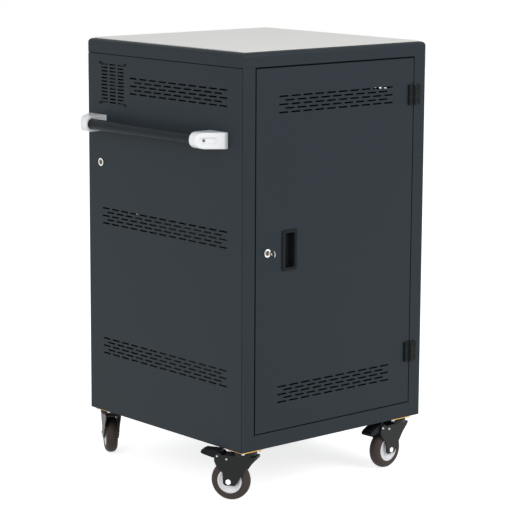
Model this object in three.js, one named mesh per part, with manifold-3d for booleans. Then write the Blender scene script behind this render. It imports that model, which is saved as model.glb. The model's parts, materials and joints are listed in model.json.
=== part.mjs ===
// A laptop charging cart: a steel cabinet on four swivel casters, with a louvred front door, laptop racks
// inside, a power compartment at the back, a fan behind the left side and a push handle on the left side.
// Units are millimetres. +Z is up, the door faces -Y, and the handle is on the -X side.

import * as THREE from "three";
import { mergeGeometries, mergeVertices } from "three/addons/utils/BufferGeometryUtils.js";
import Module from "manifold-3d";

// Cabinet
const cabinetWidth = 624;
const cabinetDepth = 628;
const cabinetHeight = 998;
const casterHeight = 136;
const sheet = 1.5;
const lidRadius = 10;
const lidSkirt = 36.5;
const worktopThickness = 2;
const worktopRim = 1;
const worktopCornerRadius = 6;
const frameWidth = 39;
const frontPostDepth = 25;
const rearPostWidth = 40;
const rearPostDepth = 20;
const panelSeam = 2;
const cornerSeam = 1.4;

// Clearances
const jointGap = 0.3;
const runningGap = 0.4;

// Louvres: staggered rows of slots
const slotLength = 30;
const slotHeight = 4;
const slotPitch = 40;
const slotRowPitch = 10;
const slotRows = 5;
const doorLouvreColumns = 10;
const doorLouvreInset = 91;
const sideUpperColumns = 10;
const sideLowerColumns = 13;
const sideLouvreStart = 60;
const sideUpperDrop = 77;
const sideLowerRise = 181;
const plainSideColumns = 8;

// Front door
const doorGap = 3;
const doorFreeGap = 4.2;
const doorDepth = 20;
const doorSwing = 120;

// Hinges
const hingeHeight = 52;
const hingeLeafWidth = 19.5;
const hingeLeafThickness = 5;
const hingeBarrelRadius = 5;
const hingePinRadius = 2;
const hingePinStandOff = 6;
const hingeKnuckles = 5;
const upperHingeDrop = 95;
const lowerHingeRise = 137;

// Flush pull
const pullWidth = 51;
const pullHeight = 104;
const pullMouthWidth = 28;
const pullMouthHeight = 87;
const pullDepth = 16;
const pullProud = 3;
const pullWall = 2;
const pullInset = 153.5;

// Locks and key
const lockRosetteRadius = 10.5;
const lockProud = 3;
const lockBarrelRadius = 9;
const lockPlugRadius = 6.5;
const frontLockInset = 79;
const sideLockDrop = 287;
const sideLockInset = 55;
const camLength = 44;
const camWidth = 14;
const camThickness = 2;
const keyThickness = 2;
const keyBladeWidth = 7;
const keyBladeDepth = 10;
const keyBowRadius = 10;
const keyBowHoleRadius = 3.5;
const keyNeck = 8;

// Handle
const handleDrop = 181;
const barRadius = 14;
const barReach = 47;
const bracketHeight = 41;
const bracketLength = 71;
const bracketFrontInset = 57;
const bracketRearInset = 7;
const barSocketDepth = 18;
const bracketFootReach = 9;
const bracketSlope = 46;

// Inside
const rackCount = 3;
const rackRise = 46;
const rackPitch = 300;
const rackFrontInset = 40;
const rackFlange = 20;
const bayCount = 8;
const bayPitch = 66;
const dividerHeight = 190;
const dividerSetBack = 20;
const dividerFrontHeight = 110;
const dividerSlope = 70;
const partitionInset = 205;
const cableSlotWidth = 440;
const cableSlotHeight = 40;
const cableSlotRise = 215;
const stripWidth = 44;
const stripDepth = 40;
const stripHeight = 800;
const stripInset = 62;
const stripRise = 60;

// Fan
const fanSize = 120;
const fanDepth = 25;
const fanRim = 3;
const fanPostGap = 3.2;
const fanHubRadius = 20;
const fanPinRadius = 2.5;
const fanSpokeWidth = 6;
const fanSpokeDepth = 3;
const fanBlades = 5;
const fanBladeChord = 22;
const fanBladeThickness = 2;
const fanBladePitch = 35;
const fanTipGap = 4;
const grilleColumns = 3;
const grilleRows = 12;
const grillePitch = 35;
const grilleRowPitch = 9;
const grilleSlotLength = 25.5;

// Mains inlet and rocker
const inletInset = 90;
const inletRise = 110;
const inletWidth = 34;
const inletHeight = 66;
const inletFlange = 3;
const inletBodyDepth = 25;
const inletFlangeLip = 3;
const socketWidth = 24;
const socketHeight = 17;
const socketDepth = 16;
const socketDrop = 15;
const rockerWidth = 13;
const rockerHeight = 19;
const rockerDepth = 8;
const rockerProud = 2.5;
const rockerRaise = 15;
const rockerTilt = 11;
const rockerPocketDepth = 10;

// Casters
const casterInsetLeft = 42;
const casterInsetRight = 57;
const casterInsetY = 36;
const casterPlateX = 72;
const casterPlateY = 64;
const casterPlateThickness = 3;
const casterPlateCorner = 8;
const casterRaceRadius = 26;
const casterRaceHeight = 14;
const kingPinRadius = 6;
const forkThickness = 3;
const forkCrownSpan = [-33, 54];
const casterTrail = 37;
const wheelRadius = 51;
const wheelWidth = 32;
const wheelSideGap = 2;
const hubRadius = 32.5;
const hubFaceInset = 1.5;
const tyreShoulder = 9;
const axleRadius = 5;
const axleHeadRadius = 7.5;
const axleHeadHeight = 4;
const pedalPivotX = 68;
const pedalPivotZ = 115;
const pedalPivotRadius = 3;
const pedalTravel = 26;

// Fork leg and brake pedal outlines: distance along the trail from the swivel axis, and height up
const forkLegOutline = [
  [-33, 112],
  [-12, 90],
  [6, 64],
  [16, 46],
  [21, 40.5],
  [47, 40.5],
  [52, 45],
  [54, 72],
  [72, 92],
  [76, 102],
  [76, 117],
  [71, 123],
  [60, 123],
  [55, 118],
  [-33, 118],
];
const pedalOutline = [
  [61, 110],
  [66, 106.5],
  [84, 109],
  [111, 117],
  [114, 121],
  [112, 126],
  [104, 129.5],
  [61, 128.5],
];

// Where each caster trails at rest, in degrees about +Z from +X; brake is the share of its pedal's travel
// that is pressed at rest
const casters = [
  { name: "front_left", side: -1, end: -1, trail: 122, brake: 0 },
  { name: "front_right", side: 1, end: -1, trail: 185, brake: 1 },
  { name: "rear_left", side: -1, end: 1, trail: 60, brake: null },
  { name: "rear_right", side: 1, end: 1, trail: 75, brake: null },
];

// Facets round a full turn
const roundSides = 20;
const wheelSides = 24;

// Levels and faces that follow from the sizes above
const left = -cabinetWidth / 2;
const right = cabinetWidth / 2;
const front = -cabinetDepth / 2;
const rear = cabinetDepth / 2;
const baseZ = casterHeight;
const floorTop = baseZ + sheet;
const lidTop = baseZ + cabinetHeight;
const lidBottom = lidTop - lidSkirt;
const innerX = cabinetWidth / 2 - sheet - jointGap;
const panelBottom = floorTop + jointGap;
const panelTop = lidBottom - panelSeam;
const doorLeft = left + frameWidth + doorFreeGap;
const doorRight = right - frameWidth - doorGap;
const doorBottom = baseZ + frameWidth + doorGap;
const doorTop = lidBottom - doorFreeGap;
const doorMiddle = (doorBottom + doorTop) / 2;
const rearPostFront = rear - sheet - jointGap - rearPostWidth;
const fanBoreRadius = fanSize / 2 - fanRim;
const fanY = rearPostFront - fanPostGap - fanSize / 2;
const fanZ = lidBottom - sideUpperDrop;

// Materials
function paint(color, roughness, metalness) {
  return new THREE.MeshStandardMaterial({ color, roughness, metalness });
}

const anthracite = paint(0x353e43, 0.45, 0.2);
const rackGrey = paint(0x2c2f32, 0.6, 0);
const worktopGrey = paint(0xd9d8d6, 0.5, 0);
const blackPlastic = paint(0x17181a, 0.5, 0);
const whitePlastic = paint(0xf2f2f0, 0.25, 0);
const handleGrip = paint(0x33393c, 0.6, 0);
const chrome = paint(0xd5d6d8, 0.15, 1);
const zinc = paint(0xb9bbbd, 0.35, 1);
const goldZinc = paint(0xd9a650, 0.35, 1);
const blackSteel = paint(0x1d1f20, 0.45, 0.4);
const tyreRubber = paint(0x3b322e, 0.8, 0);

const wasm = await Module();
wasm.setup();

// A closed geometry as a solid that can be cut and joined
function toSolid(geometry) {
  const bare = geometry.clone();
  bare.deleteAttribute("normal");
  bare.deleteAttribute("uv");
  const merged = mergeVertices(bare, 1e-4);
  const corners = merged.index.array;
  const triangles = [];
  for (let i = 0; i < corners.length; i += 3) {
    const [a, b, c] = corners.slice(i, i + 3);
    if (a !== b && b !== c && c !== a) triangles.push(a, b, c);
  }
  const vertProperties = merged.attributes.position.array;
  const triVerts = new Uint32Array(triangles);
  return new wasm.Manifold(new wasm.Mesh({ numProp: 3, vertProperties, triVerts }));
}

function toGeometry(solid) {
  const mesh = solid.getMesh();
  const geometry = new THREE.BufferGeometry();
  geometry.setAttribute("position", new THREE.BufferAttribute(new Float32Array(mesh.vertProperties), 3));
  geometry.setIndex(new THREE.BufferAttribute(new Uint32Array(mesh.triVerts), 1));
  geometry.computeVertexNormals();
  return geometry;
}

const cut = (body, ...tools) =>
  toGeometry(tools.reduce((solid, tool) => solid.subtract(toSolid(tool)), toSolid(body)));
const join = (body, ...others) =>
  toGeometry(others.reduce((solid, other) => solid.add(toSolid(other)), toSolid(body)));
const overlapOf = (one, other) => toGeometry(toSolid(one).intersect(toSolid(other)));

// A box from its three spans
function block([x0, x1], [y0, y1], [z0, z1]) {
  const geometry = new THREE.BoxGeometry(x1 - x0, y1 - y0, z1 - z0);
  return geometry.translate((x0 + x1) / 2, (y0 + y1) / 2, (z0 + z1) / 2);
}

const about = (middle, size) => [middle - size / 2, middle + size / 2];

// A round bar along one axis, from one end to the other, with its centre in the two other axes
function rod(axis, radius, [from, to], [a, b], sides = roundSides) {
  const geometry = new THREE.CylinderGeometry(radius, radius, to - from, sides);
  const middle = (from + to) / 2;
  if (axis === "x") return geometry.rotateZ(-Math.PI / 2).translate(middle, a, b);
  if (axis === "y") return geometry.translate(a, middle, b);
  return geometry.rotateX(Math.PI / 2).translate(a, b, middle);
}

// A flat outline pushed along one axis; the outline is in the two other axes, in X, Y, Z order
function prism(axis, outline, [from, to]) {
  const shape = new THREE.Shape(outline.map(([u, v]) => new THREE.Vector2(u, v)));
  const geometry = new THREE.ExtrudeGeometry(shape, { depth: to - from, bevelEnabled: false });
  if (axis === "x") {
    const turn = new THREE.Matrix4().makeBasis(
      new THREE.Vector3(0, 1, 0),
      new THREE.Vector3(0, 0, 1),
      new THREE.Vector3(1, 0, 0),
    );
    return geometry.applyMatrix4(turn).translate(from, 0, 0);
  }
  if (axis === "y") return geometry.rotateX(Math.PI / 2).translate(0, to, 0);
  return geometry.translate(0, 0, from);
}

function arc([u, v], radius, startDegrees, endDegrees, steps) {
  return Array.from({ length: steps + 1 }, (_, i) => {
    const angle = THREE.MathUtils.degToRad(startDegrees + ((endDegrees - startDegrees) * i) / steps);
    return [u + radius * Math.cos(angle), v + radius * Math.sin(angle)];
  });
}

function roundedRectangle([u0, u1], [v0, v1], radius, steps = 3) {
  return [
    ...arc([u1 - radius, v0 + radius], radius, -90, 0, steps),
    ...arc([u1 - radius, v1 - radius], radius, 0, 90, steps),
    ...arc([u0 + radius, v1 - radius], radius, 90, 180, steps),
    ...arc([u0 + radius, v0 + radius], radius, 180, 270, steps),
  ];
}

const mirrored = (outline) => outline.map(([u, v]) => [-u, v]);

const cart = new THREE.Group();

function add(name, geometry, material, parent = cart) {
  const mesh = new THREE.Mesh(geometry, material);
  mesh.name = name;
  parent.add(mesh);
  return mesh;
}

// A group whose +Z points out of a wall and whose +Y is up
function wallGroup(outward, x, y, z) {
  const up = new THREE.Vector3(0, 0, 1);
  const across = new THREE.Vector3().crossVectors(up, outward);
  const group = new THREE.Group();
  group.quaternion.setFromRotationMatrix(new THREE.Matrix4().makeBasis(across, up, outward));
  group.position.set(x, y, z);
  cart.add(group);
  return group;
}

// Louvre slots: centres of staggered rows, the odd rows one slot shorter
function louvreCentres(columns, middleU, middleV) {
  const centres = [];
  for (let row = 0; row < slotRows; row++) {
    const inRow = columns - (row % 2);
    for (let column = 0; column < inRow; column++) {
      const u = middleU + (column - (inRow - 1) / 2) * slotPitch;
      centres.push([u, middleV + (row - (slotRows - 1) / 2) * slotRowPitch]);
    }
  }
  return centres;
}

// Slots are cut clear through a sheet that faces along X or Y
function cutSlots(body, facing, [from, to], centres, length) {
  const through = [from - sheet, to + sheet];
  const boxes = centres.map(([u, v]) =>
    facing === "x"
      ? block(through, about(u, length), about(v, slotHeight))
      : block(about(u, length), through, about(v, slotHeight)),
  );
  return cut(body, mergeGeometries(boxes));
}

// Base pan: the floor sheet with the front bottom rail folded up from it
function basePan() {
  const floor = block([left, right], [front, rear], [baseZ, floorTop]);
  const railTop = baseZ + frameWidth;
  const rail = [
    [front, baseZ],
    [front + sheet, baseZ],
    [front + sheet, railTop - sheet],
    [front + frontPostDepth, railTop - sheet],
    [front + frontPostDepth, railTop],
    [front, railTop],
  ];
  const railEnd = right - frameWidth - jointGap;
  return join(floor, prism("x", rail, [-railEnd, railEnd]));
}

add("base_pan", basePan(), anthracite);

// Front posts: folded channels, with the side sheets lapping their outer flanges
function frontPost() {
  const outer = -innerX;
  const inner = left + frameWidth;
  const back = front + frontPostDepth;
  return [
    [left, front],
    [inner, front],
    [inner, back],
    [inner - sheet, back],
    [inner - sheet, front + sheet],
    [outer + sheet, front + sheet],
    [outer + sheet, back],
    [outer, back],
    [outer, front + sheet],
    [left, front + sheet],
  ];
}

const frontPostSpan = [floorTop + jointGap, lidBottom - jointGap];
add("front_left_post", prism("z", frontPost(), frontPostSpan), anthracite);
add("front_right_post", prism("z", mirrored(frontPost()), frontPostSpan), anthracite);

// Rear posts: channels inside the back corners, which reach up into the lid
function rearPost() {
  const outer = -innerX;
  const back = rear - sheet - jointGap;
  return [
    [outer, rearPostFront],
    [outer + rearPostDepth, rearPostFront],
    [outer + rearPostDepth, rearPostFront + sheet],
    [outer + sheet, rearPostFront + sheet],
    [outer + sheet, back - sheet],
    [outer + rearPostDepth, back - sheet],
    [outer + rearPostDepth, back],
    [outer, back],
  ];
}

const rearPostSpan = [floorTop + jointGap, lidTop - lidRadius - jointGap];
add("rear_left_post", prism("z", rearPost(), rearPostSpan), anthracite);
add("rear_right_post", prism("z", mirrored(rearPost()), rearPostSpan), anthracite);

// Side panels, with louvres; the left one also has the fan grille and the hole for its lock, and it lifts
// off, so it has a wider seam at the front corner
const sidePanelY = [front + sheet + jointGap, rear - sheet - jointGap];
const loosePanelY = [front + sheet + cornerSeam, rear - sheet - jointGap];
const sidePanelZ = [panelBottom, panelTop];
const sideLowerZ = baseZ + sideLowerRise;
const sideUpperZ = lidBottom - sideUpperDrop;
const sideMiddleZ = (sideLowerZ + sideUpperZ) / 2;
const sideLockY = rear - sideLockInset;
const sideLockZ = lidBottom - sideLockDrop;

function fieldMiddle(columns) {
  return front + sideLouvreStart + ((columns - 1) * slotPitch + slotLength) / 2;
}

function grilleCentres() {
  const centres = [];
  for (let row = 0; row < grilleRows; row++) {
    for (let column = 0; column < grilleColumns; column++) {
      const y = fanY + (column - (grilleColumns - 1) / 2) * grillePitch;
      centres.push([y, fanZ + (row - (grilleRows - 1) / 2) * grilleRowPitch]);
    }
  }
  return centres;
}

function leftSidePanel() {
  const faceX = [left, left + sheet];
  const louvres = [
    ...louvreCentres(sideUpperColumns, fieldMiddle(sideUpperColumns), sideUpperZ),
    ...louvreCentres(sideLowerColumns, fieldMiddle(sideLowerColumns), sideMiddleZ),
    ...louvreCentres(sideLowerColumns, fieldMiddle(sideLowerColumns), sideLowerZ),
  ];
  const holeX = [left - sheet, left + 2 * sheet];
  const lockHole = rod("x", lockBarrelRadius + jointGap, holeX, [sideLockY, sideLockZ]);
  const plain = cut(block(faceX, loosePanelY, sidePanelZ), lockHole);
  const slotted = cutSlots(plain, "x", faceX, louvres, slotLength);
  return cutSlots(slotted, "x", faceX, grilleCentres(), grilleSlotLength);
}

const inletY = rear - inletInset;
const inletZ = baseZ + inletRise;

function rightSidePanel() {
  const faceX = [right - sheet, right];
  const louvres = [
    ...louvreCentres(plainSideColumns, fieldMiddle(plainSideColumns), sideUpperZ),
    ...louvreCentres(plainSideColumns, fieldMiddle(plainSideColumns), sideLowerZ),
  ];
  const bodyWidth = inletWidth - 2 * inletFlangeLip + 2 * jointGap;
  const bodyHeight = inletHeight - 2 * inletFlangeLip + 2 * jointGap;
  const holeX = [right - 2 * sheet, right + sheet];
  const inletHole = block(holeX, about(inletY, bodyWidth), about(inletZ, bodyHeight));
  const plain = cut(block(faceX, sidePanelY, sidePanelZ), inletHole);
  return cutSlots(plain, "x", faceX, louvres, slotLength);
}

add("left_side_panel", leftSidePanel(), anthracite);
add("right_side_panel", rightSidePanel(), anthracite);

// Back panel, laid over the rear edges of the side panels
function backPanel() {
  const faceY = [rear - sheet, rear];
  const fields = [sideUpperZ, sideMiddleZ, sideLowerZ];
  const louvres = fields.flatMap((z) => louvreCentres(plainSideColumns, 0, z));
  return cutSlots(block([left, right], faceY, sidePanelZ), "y", faceY, louvres, slotLength);
}

add("back_panel", backPanel(), anthracite);

// Lid: a folded tray upside down, rounded along its four top edges
function lidSolid(inset, bottom) {
  const top = lidTop - inset;
  const radius = lidRadius - inset;
  const dome = (half) => [
    [-half, bottom],
    [half, bottom],
    ...arc([half - radius, top - radius], radius, 0, 90, 4),
    ...arc([radius - half, top - radius], radius, 90, 180, 4),
  ];
  const acrossX = prism("y", dome(cabinetWidth / 2 - inset), [front, rear]);
  const acrossY = prism("x", dome(cabinetDepth / 2 - inset), [left, right]);
  return overlapOf(acrossX, acrossY);
}

add("lid", cut(lidSolid(0, lidBottom), lidSolid(sheet, lidBottom - sheet)), anthracite);

// Worktop panel lying on the flat of the lid
const worktopHalfX = cabinetWidth / 2 - lidRadius - worktopRim;
const worktopHalfY = cabinetDepth / 2 - lidRadius - worktopRim;
const worktopOutline = roundedRectangle(
  [-worktopHalfX, worktopHalfX],
  [-worktopHalfY, worktopHalfY],
  worktopCornerRadius,
);
const worktopBottom = lidTop + jointGap;
const worktopSpan = [worktopBottom, worktopBottom + worktopThickness];
add("worktop_panel", prism("z", worktopOutline, worktopSpan), worktopGrey);

// Rear partition with one cable slot behind each rack
const partitionY = rear - partitionInset;
const rackLevels = Array.from({ length: rackCount }, (_, i) => baseZ + rackRise + i * rackPitch);

function rearPartition() {
  const wall = block(
    [-innerX, innerX],
    [partitionY, partitionY + sheet],
    [panelBottom, lidTop - lidRadius - jointGap],
  );
  const slots = rackLevels.map((z) =>
    block(
      about(0, cableSlotWidth),
      [partitionY - sheet, partitionY + 2 * sheet],
      about(z + cableSlotRise, cableSlotHeight),
    ),
  );
  return cut(wall, ...slots);
}

add("rear_partition", rearPartition(), rackGrey);

// Laptop racks: a shelf with folded sides and a row of upright dividers, sloped down at the front
function laptopRack(z) {
  const half = innerX - jointGap;
  const shelfTop = z + sheet;
  const top = shelfTop + dividerHeight;
  const outline = [
    [-half, z - rackFlange],
    [-half + sheet, z - rackFlange],
    [-half + sheet, z],
    [half - sheet, z],
    [half - sheet, z - rackFlange],
    [half, z - rackFlange],
    [half, shelfTop],
  ];
  for (let i = bayCount; i >= 0; i--) {
    const [near, far] = about((i - bayCount / 2) * bayPitch, sheet);
    outline.push([far, shelfTop], [far, top], [near, top], [near, shelfTop]);
  }
  outline.push([-half, shelfTop]);
  const shelfFront = front + rackFrontInset;
  const shelfBack = partitionY - jointGap;
  const dividerFront = shelfFront + dividerSetBack;
  const sideView = [
    [shelfFront, z - rackFlange - sheet],
    [shelfBack, z - rackFlange - sheet],
    [shelfBack, top + sheet],
    [dividerFront + dividerSlope, top + sheet],
    [dividerFront, shelfTop + dividerFrontHeight],
    [dividerFront, shelfTop],
    [shelfFront, shelfTop],
  ];
  return overlapOf(prism("y", outline, [shelfFront, shelfBack]), prism("x", sideView, [left, right]));
}

["lower", "middle", "upper"].slice(0, rackCount).forEach((level, i) => {
  add(`laptop_rack_${level}`, laptopRack(rackLevels[i]), rackGrey);
});

// Power strips: two upright socket strips on the back of the partition
const stripY = [partitionY + sheet + jointGap, partitionY + sheet + jointGap + stripDepth];
const stripZ = [baseZ + stripRise, baseZ + stripRise + stripHeight];
[-1, 1].forEach((side) => {
  const outline = roundedRectangle(about(side * (right - stripInset), stripWidth), stripY, 4, 2);
  add(side < 0 ? "power_strip_left" : "power_strip_right", prism("z", outline, stripZ), blackPlastic);
});

// Fan: a square frame against the left panel, with a rotor on a pin carried by cross spokes
const fanOuterX = -innerX;
const fanInnerX = fanOuterX + fanDepth;
const fanCentre = [fanY, fanZ];

function fanFrame() {
  const spokeX = [fanInnerX - fanSpokeDepth, fanInnerX];
  const ring = cut(
    block([fanOuterX, fanInnerX], about(fanY, fanSize), about(fanZ, fanSize)),
    rod("x", fanBoreRadius, [fanOuterX - 1, fanInnerX + 1], fanCentre, wheelSides),
  );
  return join(
    ring,
    block(spokeX, about(fanY, fanSize - 2), about(fanZ, fanSpokeWidth)),
    block(spokeX, about(fanY, fanSpokeWidth), about(fanZ, fanSize - 2)),
    rod("x", fanHubRadius, spokeX, fanCentre),
    rod("x", fanPinRadius, [fanOuterX + fanSpokeDepth, fanInnerX - fanSpokeDepth / 2], fanCentre, 12),
  );
}

function fanRotor() {
  const hubX = [fanOuterX + fanSpokeDepth, fanInnerX - fanSpokeDepth - runningGap];
  const bladeLength = fanBoreRadius - fanTipGap - fanHubRadius;
  const blades = Array.from({ length: fanBlades }, (_, i) => {
    const overlap = fanHubRadius / 2;
    const blade = new THREE.BoxGeometry(fanBladeThickness, fanBladeChord, bladeLength + overlap);
    blade.rotateZ(THREE.MathUtils.degToRad(fanBladePitch));
    blade.translate(0, 0, fanHubRadius + (bladeLength - overlap) / 2);
    blade.rotateX((i * 2 * Math.PI) / fanBlades);
    return blade.translate((hubX[0] + hubX[1]) / 2, fanY, fanZ);
  });
  const bore = rod("x", fanPinRadius + runningGap, [hubX[0] - 1, hubX[1] + 1], fanCentre, 12);
  return cut(join(rod("x", fanHubRadius, hubX, fanCentre), ...blades), bore);
}

add("fan_frame", fanFrame(), blackPlastic);
add("fan_rotor", fanRotor(), blackPlastic);

// Handle: a round bar between two moulded brackets on the left side
const handleZ = lidBottom - handleDrop;
const barX = left - barReach;
const frontBracketY = [front + bracketFrontInset, front + bracketFrontInset + bracketLength];
const rearBracketY = [rear - bracketRearInset - bracketLength, rear - bracketRearInset];

// A bracket slopes from its thin foot, at its closed end, out to the bar, which it takes in a socket
function handleBracket(footY, openY) {
  const half = bracketHeight / 2;
  const wallX = left - jointGap;
  const away = Math.sign(openY - footY);
  const noseX = barX - half;
  const profile = [
    [wallX, handleZ - half],
    [wallX, handleZ + half],
    ...arc([barX, handleZ], half, 90, 270, 10),
  ];
  const plan = [
    [wallX + 1, footY],
    [wallX - bracketFootReach, footY],
    [noseX - 1, footY + away * bracketSlope],
    [noseX - 1, openY],
    [wallX + 1, openY],
  ];
  const spanY = [Math.min(footY, openY), Math.max(footY, openY)];
  const height = [handleZ - bracketHeight, handleZ + bracketHeight];
  const socketEnds = [openY - away * barSocketDepth, openY + away];
  const socketY = [Math.min(...socketEnds), Math.max(...socketEnds)];
  const body = overlapOf(prism("y", profile, spanY), prism("z", away > 0 ? plan : plan.reverse(), height));
  return cut(body, rod("y", barRadius + jointGap, socketY, [barX, handleZ]));
}

const barSocketFront = frontBracketY[1] - barSocketDepth;
const barSocketRear = rearBracketY[0] + barSocketDepth;
add("handle_bracket_front", handleBracket(frontBracketY[0], frontBracketY[1]), whitePlastic);
add("handle_bracket_rear", handleBracket(rearBracketY[1], rearBracketY[0]), whitePlastic);
add(
  "handle_bar",
  rod("y", barRadius, [barSocketFront + jointGap, barSocketRear - jointGap], [barX, handleZ]),
  handleGrip,
);

// Front door: a folded pan with two louvre fields, a cut-out for the flush pull and a hole for the lock
const lockX = left + frontLockInset;
const pullX = left + pullInset;
const pullBodyWidth = pullMouthWidth + 2 * pullWall;
const pullBodyHeight = pullMouthHeight + 2 * pullWall;

function frontDoor() {
  const pan = cut(
    block([doorLeft, doorRight], [front, front + doorDepth], [doorBottom, doorTop]),
    block(
      [doorLeft + sheet, doorRight - sheet],
      [front + sheet, front + doorDepth + 1],
      [doorBottom + sheet, doorTop - sheet],
    ),
    rod("y", lockBarrelRadius + jointGap, [front - 1, front + 2 * sheet], [lockX, doorMiddle]),
    block(
      about(pullX, pullBodyWidth + 2 * jointGap),
      [front - 1, front + 2 * sheet],
      about(doorMiddle, pullBodyHeight + 2 * jointGap),
    ),
  );
  const louvres = [
    ...louvreCentres(doorLouvreColumns, 0, doorTop - doorLouvreInset),
    ...louvreCentres(doorLouvreColumns, 0, doorBottom + doorLouvreInset),
  ];
  return cutSlots(pan, "y", [front, front + sheet], louvres, slotLength);
}

add("front_door", frontDoor(), anthracite);

// Flush pull: a moulded pocket behind a raised rim
function flushPull() {
  const rim = block(
    about(pullX, pullWidth),
    [front - pullProud, front - jointGap],
    about(doorMiddle, pullHeight),
  );
  const pocket = block(
    about(pullX, pullBodyWidth),
    [front - pullProud / 2, front + pullDepth + pullWall],
    about(doorMiddle, pullBodyHeight),
  );
  const mouth = block(
    about(pullX, pullMouthWidth),
    [front - pullProud - 1, front + pullDepth],
    about(doorMiddle, pullMouthHeight),
  );
  return cut(join(rim, pocket), mouth);
}

add("flush_pull", flushPull(), blackPlastic);

// Hinges: two leaves on the front faces, with alternating knuckles round one pin
const hingeX = right - frameWidth - doorGap / 2;
const hingeY = front - hingePinStandOff;
const knuckleHeight = hingeHeight / hingeKnuckles;

// side is -1 for the leaf on the door, which has the odd knuckles, and 1 for the leaf on the frame
function hingeLeaf(side, z) {
  const near = hingeBarrelRadius + runningGap;
  const spanX = (from, to) => (side < 0 ? [hingeX - to, hingeX - from] : [hingeX + from, hingeX + to]);
  const plateY = [front - jointGap - hingeLeafThickness, front - jointGap];
  const bottom = z - hingeHeight / 2;
  const knuckles = [];
  for (let i = side < 0 ? 1 : 0; i < hingeKnuckles; i += 2) {
    const gap = runningGap / 2;
    const span = [bottom + i * knuckleHeight + gap, bottom + (i + 1) * knuckleHeight - gap];
    knuckles.push(rod("z", hingeBarrelRadius, span, [hingeX, hingeY], 16));
    knuckles.push(block(spanX(hingePinRadius, near + 1), plateY, span));
  }
  const plate = block(spanX(near, hingeLeafWidth), plateY, [bottom, bottom + hingeHeight]);
  const boreSpan = [bottom - 1, bottom + hingeHeight + 1];
  const bore = rod("z", hingePinRadius + jointGap, boreSpan, [hingeX, hingeY], 12);
  return cut(join(plate, ...knuckles), bore);
}

const hingeLevels = { upper: doorTop - upperHingeDrop, lower: doorBottom + lowerHingeRise };
Object.entries(hingeLevels).forEach(([level, z]) => {
  add(`front_hinge_${level}_frame_leaf`, hingeLeaf(1, z), blackPlastic);
  add(`front_hinge_${level}_door_leaf`, hingeLeaf(-1, z), blackPlastic);
  const pin = rod("z", hingePinRadius, about(z, hingeHeight), [hingeX, hingeY], 12);
  add(`front_hinge_${level}_pin`, pin, zinc);
});

// Cam lock, in a wall group: body through the wall, plug in the body, cam behind the plug
// clear is how far behind the wall's face the cam passes, and camTurn where it points, in degrees from up
function camLock(name, group, clear, camTurn) {
  const barrelEnd = -clear;
  const plugEnd = barrelEnd - jointGap;
  const body = cut(
    join(
      rod("z", lockRosetteRadius, [jointGap, lockProud], [0, 0]),
      rod("z", lockBarrelRadius, [barrelEnd, lockProud / 2], [0, 0]),
    ),
    rod("z", lockPlugRadius + jointGap, [barrelEnd - 1, lockProud + 1], [0, 0]),
  );
  add(`${name}_body`, body, chrome, group);
  const keyway = block(
    about(0, keyThickness + 2 * jointGap),
    about(0, keyBladeWidth + 2 * jointGap),
    [lockProud - keyBladeDepth - jointGap, lockProud + 1],
  );
  add(`${name}_plug`, cut(rod("z", lockPlugRadius, [plugEnd, lockProud], [0, 0]), keyway), zinc, group);
  const camOutline = [
    [camWidth / 2, camLength],
    [-camWidth / 2, camLength],
    ...arc([0, 0], camWidth / 2, 180, 360, 8),
  ];
  const camTop = plugEnd - jointGap;
  const cam = prism("z", camOutline, [camTop - camThickness, camTop]);
  add(`${name}_cam`, cam.rotateZ(THREE.MathUtils.degToRad(camTurn)), zinc, group);
}

const frontLockGroup = wallGroup(new THREE.Vector3(0, -1, 0), lockX, front, doorMiddle);
camLock("front_lock", frontLockGroup, frontPostDepth, 0);
const sideLockGroup = wallGroup(new THREE.Vector3(-1, 0, 0), left, sideLockY, sideLockZ);
camLock("side_lock", sideLockGroup, sheet + jointGap + rearPostDepth, 90);

// Key standing in the front lock
function frontKey() {
  const bowZ = lockProud + keyNeck + keyBowRadius;
  const bladeZ = [lockProud - keyBladeDepth, bowZ - keyBowRadius / 2];
  const blade = block(about(0, keyThickness), about(0, keyBladeWidth), bladeZ);
  const bow = cut(
    rod("x", keyBowRadius, about(0, keyThickness), [0, bowZ]),
    rod("x", keyBowHoleRadius, about(0, keyThickness + 2), [0, bowZ], 12),
  );
  return join(bow, blade);
}

add("front_key", frontKey(), zinc, frontLockGroup);

// Mains inlet with a rocker switch above its socket, on the right side near the back
const inletGroup = wallGroup(new THREE.Vector3(1, 0, 0), right, inletY, inletZ);

function mainsInlet() {
  const flange = block(about(0, inletWidth), about(0, inletHeight), [jointGap, inletFlange]);
  const body = block(
    about(0, inletWidth - 2 * inletFlangeLip),
    about(0, inletHeight - 2 * inletFlangeLip),
    [-inletBodyDepth, inletFlange / 2],
  );
  const socketZ = [-socketDepth, inletFlange + 1];
  const socket = block(about(0, socketWidth), about(-socketDrop, socketHeight), socketZ);
  const pocket = block(
    about(0, rockerWidth + 2 * runningGap),
    about(rockerRaise, rockerHeight + 4 * runningGap),
    [-rockerPocketDepth, inletFlange + 1],
  );
  return cut(join(flange, body), socket, pocket);
}

add("mains_inlet", mainsInlet(), blackPlastic, inletGroup);

// The rocker tips about the middle of its depth, and rests tipped to off
function mainsRocker() {
  const rocker = new THREE.BoxGeometry(rockerWidth, rockerHeight, rockerDepth);
  rocker.rotateX(THREE.MathUtils.degToRad(-rockerTilt));
  return rocker.translate(0, rockerRaise, inletFlange + rockerProud - rockerDepth / 2);
}

add("mains_rocker", mainsRocker(), blackPlastic, inletGroup);

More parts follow.
